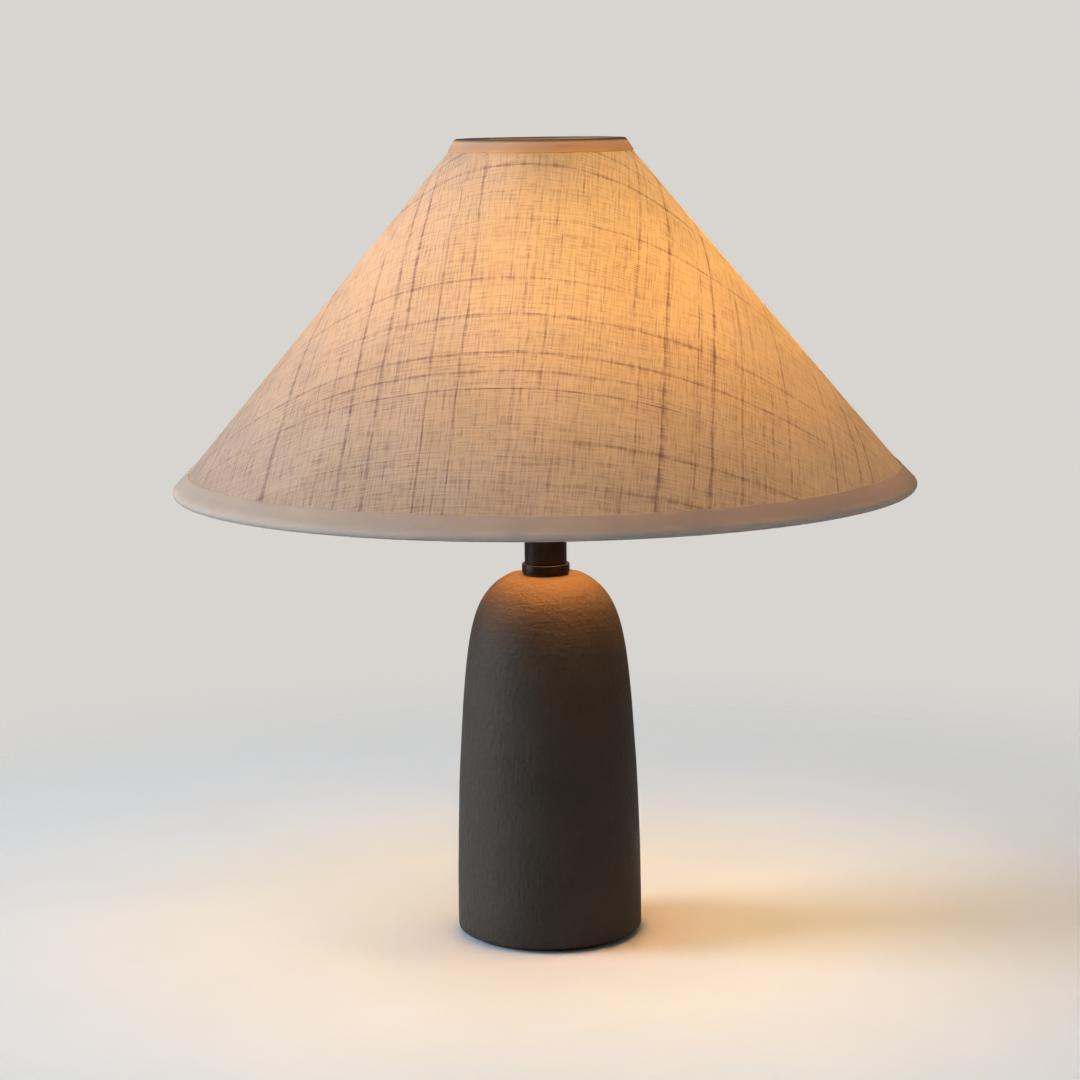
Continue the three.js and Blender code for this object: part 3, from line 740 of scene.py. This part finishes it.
cloth = settle(cone_sheet("shade_cloth", 0, "linen", "inner"), "shade", "shade_fabric")
settle(cone_sheet("shade_film", FILM_OUT, "lining", "outer"), "shade", "shade_lining")
foot_tape = settle(folded_tape("tape_foot", 0, 13.5, 9, LOOKS["tape"]), "shade", "foot_tape")
top_tape = settle(folded_tape("tape_top", 1, 9.2, 7.5, TOP_TAPE_PAINTED_LIGHT), "shade", "top_tape")
join = settle(overlap(), "shade")

# ---------------------------------------------------------------- bulb


def bulb_dome():
    """The bulb's opal shell: part of a ball, open at the bottom."""
    middle, radius, foot, wall, steps = 379.6, 29.95, 363.7, 1.2, 28
    start = -math.asin((middle - foot) / radius)
    angles = [start + (math.pi / 2 - start) * i / steps for i in range(steps + 1)]
    shell = []
    for r in (radius, radius - wall):
        skin = [(r * math.cos(a), middle + r * math.sin(a)) for a in angles]
        skin[-1] = (0, middle + r)
        shell.append(skin)
    return revolve("bulb_dome", shell[0] + shell[1][::-1], "opal", 96)


settle(bulb_dome(), "bulb", "bulb_diffuser")

# ---------------------------------------------------------------- stage and light


def floor_look():
    """A plain pale floor that fades into the room between two distances from the middle."""
    near, gone = 0.26, 0.78
    s = Shading("floor")
    at = s.place()
    tone = s.blend(s.ramp(s.noise(at, 9, 3), 0.3, 0.7), (0.855, 0.895, 0.935), (0.875, 0.915, 0.955))
    plain = s.node("BsdfPrincipled", {"Base Color": tone, "Roughness": 0.7, "Specular IOR Level": 0.1})
    far = s.node("VectorMath", {0: at}, operation="LENGTH").outputs["Value"]
    clear = s.node("BsdfTransparent")
    fading = {0: s.ramp(far, near, gone), 1: plain.outputs[0], 2: clear.outputs[0]}
    return s.done(s.node("MixShader", fading).outputs[0])


def floor():
    """The floor as one flat face, which the stage holds."""
    radius, sides = 3, 96
    mesh = bpy.data.meshes.new("floor")
    turns = np.linspace(0, 2 * math.pi, sides, endpoint=False)
    mesh.from_pydata([(radius * math.cos(a), radius * math.sin(a), 0) for a in turns], [], [range(sides)])
    mesh.materials.append(floor_look())
    made = bpy.data.objects.new("floor", mesh)
    bpy.context.scene.collection.objects.link(made)


def softbox(name, place, aim, size, power, colour):
    """A soft rectangular light that faces a point."""
    data = bpy.data.lights.new(name, "AREA")
    data.shape = "RECTANGLE"
    data.size, data.size_y = size
    data.energy = power
    data.color = colour
    made = bpy.data.objects.new(name, data)
    made.location = place
    made.rotation_euler = (Vector(aim) - Vector(place)).to_track_quat("-Z", "Y").to_euler()
    bpy.context.scene.collection.objects.link(made)


def lamp(name, kind, power, colour, turn, radius, height, lean=0.0):
    """A small light of the lamp's own, at a turn to the right from the front. A spot leans in to the axis."""
    data = bpy.data.lights.new(name, kind)
    data.energy = power
    data.color = colour
    data.shadow_soft_size = 0.012
    made = bpy.data.objects.new(name, data)
    made.location = (radius * math.sin(turn), -radius * math.cos(turn), height)
    made.rotation_euler = (lean, 0, turn)
    made.visible_camera = False
    bpy.context.scene.collection.objects.link(made)
    return data


def lamplight():
    """The warm light inside the shade: round the lampholder, strongest on its right, and down on the base."""
    powers, spots = (0.31, 0.53, 0.40, 0.41, 0.28, 0.11), 12
    warm, amber, orange = (1.0, 0.64, 0.27), (1.0, 0.22, 0.0), (1.0, 0.24, 0.0)
    lean, cone = math.radians(13.5), math.radians(47)
    for i, power in enumerate(powers):
        lamp("lamplight", "POINT", power, warm, math.tau * i / len(powers), radius=0.045, height=0.314)
    lamp("side_glow", "POINT", 0.20, amber, math.radians(50), radius=0.06, height=0.27)
    for i in range(spots):
        turn = math.tau * i / spots
        spot = lamp("downlight", "SPOT", 0.43, orange, turn, radius=0.037, height=0.262, lean=lean)
        spot.spot_size = cone
        spot.spot_blend = 1.0


def room():
    """A plain pale room, a little brighter to the right. The camera sees it in one even tone."""
    world = bpy.data.worlds.new("room")
    world.use_nodes = True
    tree = world.node_tree
    at = tree.nodes.new("ShaderNodeTexCoord")
    split = tree.nodes.new("ShaderNodeSeparateXYZ")
    tree.links.new(at.outputs["Generated"], split.inputs[0])
    across = tree.nodes.new("ShaderNodeMapRange")
    for name, value in {"From Min": -1.0, "From Max": 1.0, "To Min": 0.14, "To Max": 0.16}.items():
        across.inputs[name].default_value = value
    tree.links.new(split.outputs["X"], across.inputs["Value"])
    light, seen = tree.nodes["Background"], tree.nodes.new("ShaderNodeBackground")
    light.inputs["Color"].default_value = (1.0, 0.96, 0.91, 1)
    tree.links.new(across.outputs[0], light.inputs["Strength"])
    seen.inputs["Color"].default_value = (0.685, 0.665, 0.63, 1)
    path, both = tree.nodes.new("ShaderNodeLightPath"), tree.nodes.new("ShaderNodeMixShader")
    tree.links.new(path.outputs["Is Camera Ray"], both.inputs[0])
    tree.links.new(light.outputs[0], both.inputs[1])
    tree.links.new(seen.outputs[0], both.inputs[2])
    tree.links.new(both.outputs[0], tree.nodes["World Output"].inputs["Surface"])
    bpy.context.scene.world = world


floor()
lamplight()
room()
softbox("window", (-4.0, -0.2, 1.25), (0, 0, 0.25), (2.2, 3.0), 220, (0.77, 0.875, 1.0))
softbox("overhead", (0, -0.3, 2.2), (0, 0, 0), (2.0, 2.0), 14, (0.90, 0.96, 1.0))
bpy.context.scene.view_settings.view_transform = "Standard"
